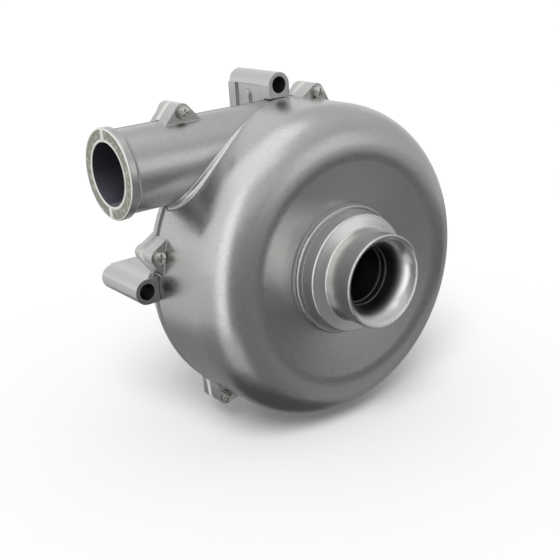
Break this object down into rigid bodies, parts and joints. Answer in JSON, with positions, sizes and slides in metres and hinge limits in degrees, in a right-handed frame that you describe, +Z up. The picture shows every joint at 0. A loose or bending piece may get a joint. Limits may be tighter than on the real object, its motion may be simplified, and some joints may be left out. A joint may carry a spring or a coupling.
{
  "type": "centrifugal air blower",
  "caption": "Cast aluminium radial air blower: round drum with a bell-mouth inlet, a tangential outlet duct, screw lugs, and a closed impeller on a brushless motor.",
  "frame": {"origin": "middle of the rear cap's flat outer face, on the shaft's axis", "axes": "+Z up, the inlet faces -Y along the shaft, the outlet duct leaves at the top towards -X"},
  "size_m": [0.0968, 0.0722, 0.0936],
  "materials": {
    "cast_aluminium": "satin casting, lightly grained",
    "turned_aluminium": "fine turned",
    "gasket_sheet": "pale compressed sheet",
    "screw_steel": "zinc plated",
    "spring_steel": "blued spring strip",
    "impeller_plastic": "black moulded",
    "brass": "turned",
    "shaft_steel": "ground",
    "bearing_steel": "polished",
    "lamination_steel": "varnished laminations",
    "magnet": "sintered, plated",
    "insulator_plastic": "moulded",
    "copper_wire": "enamelled copper",
    "board_laminate": "solder mask",
    "component_plastic": "moulded",
    "rubber": "soft"
  },
  "bodies": {
    "housing": {"front_cover": "cast_aluminium", "rear_housing": "cast_aluminium", "rear_cap": "cast_aluminium", "bearing_plate": "cast_aluminium", "inlet_nozzle": "turned_aluminium", "housing_gasket": "gasket_sheet", "cover_screws": "screw_steel", "plate_screws": "screw_steel", "cap_screws": "screw_steel", "board_screws": "screw_steel", "bearing_circlip": "spring_steel", "wave_spring": "spring_steel", "front_bearing_outer": "bearing_steel", "rear_bearing_outer": "bearing_steel", "stator_core": "lamination_steel", "front_insulator": "insulator_plastic", "rear_insulator": "insulator_plastic", "stator_coils": "copper_wire", "circuit_board": "board_laminate", "board_parts": "component_plastic", "hall_sensors": "component_plastic", "cable_grommet": "rubber", "cap_gasket": "rubber"},
    "rotor": {"impeller": "impeller_plastic", "impeller_shroud": "impeller_plastic", "impeller_bush": "brass", "impeller_washer": "screw_steel", "impeller_nut": "screw_steel", "spacer_sleeve": "shaft_steel", "shaft": "shaft_steel", "front_bearing_inner": "bearing_steel", "front_bearing_balls": "bearing_steel", "rear_bearing_inner": "bearing_steel", "rear_bearing_balls": "bearing_steel", "rotor_core": "lamination_steel", "rotor_magnet": "magnet", "magnet_sleeve": "shaft_steel", "balance_rings": "brass"}
  },
  "joints": [
    {"name": "rotor_spin", "type": "hinge", "parent": "housing", "child": "rotor", "pos_m": [0, -0.0315, 0], "axis": [0, 1, 0], "continuous": true}
  ]
}
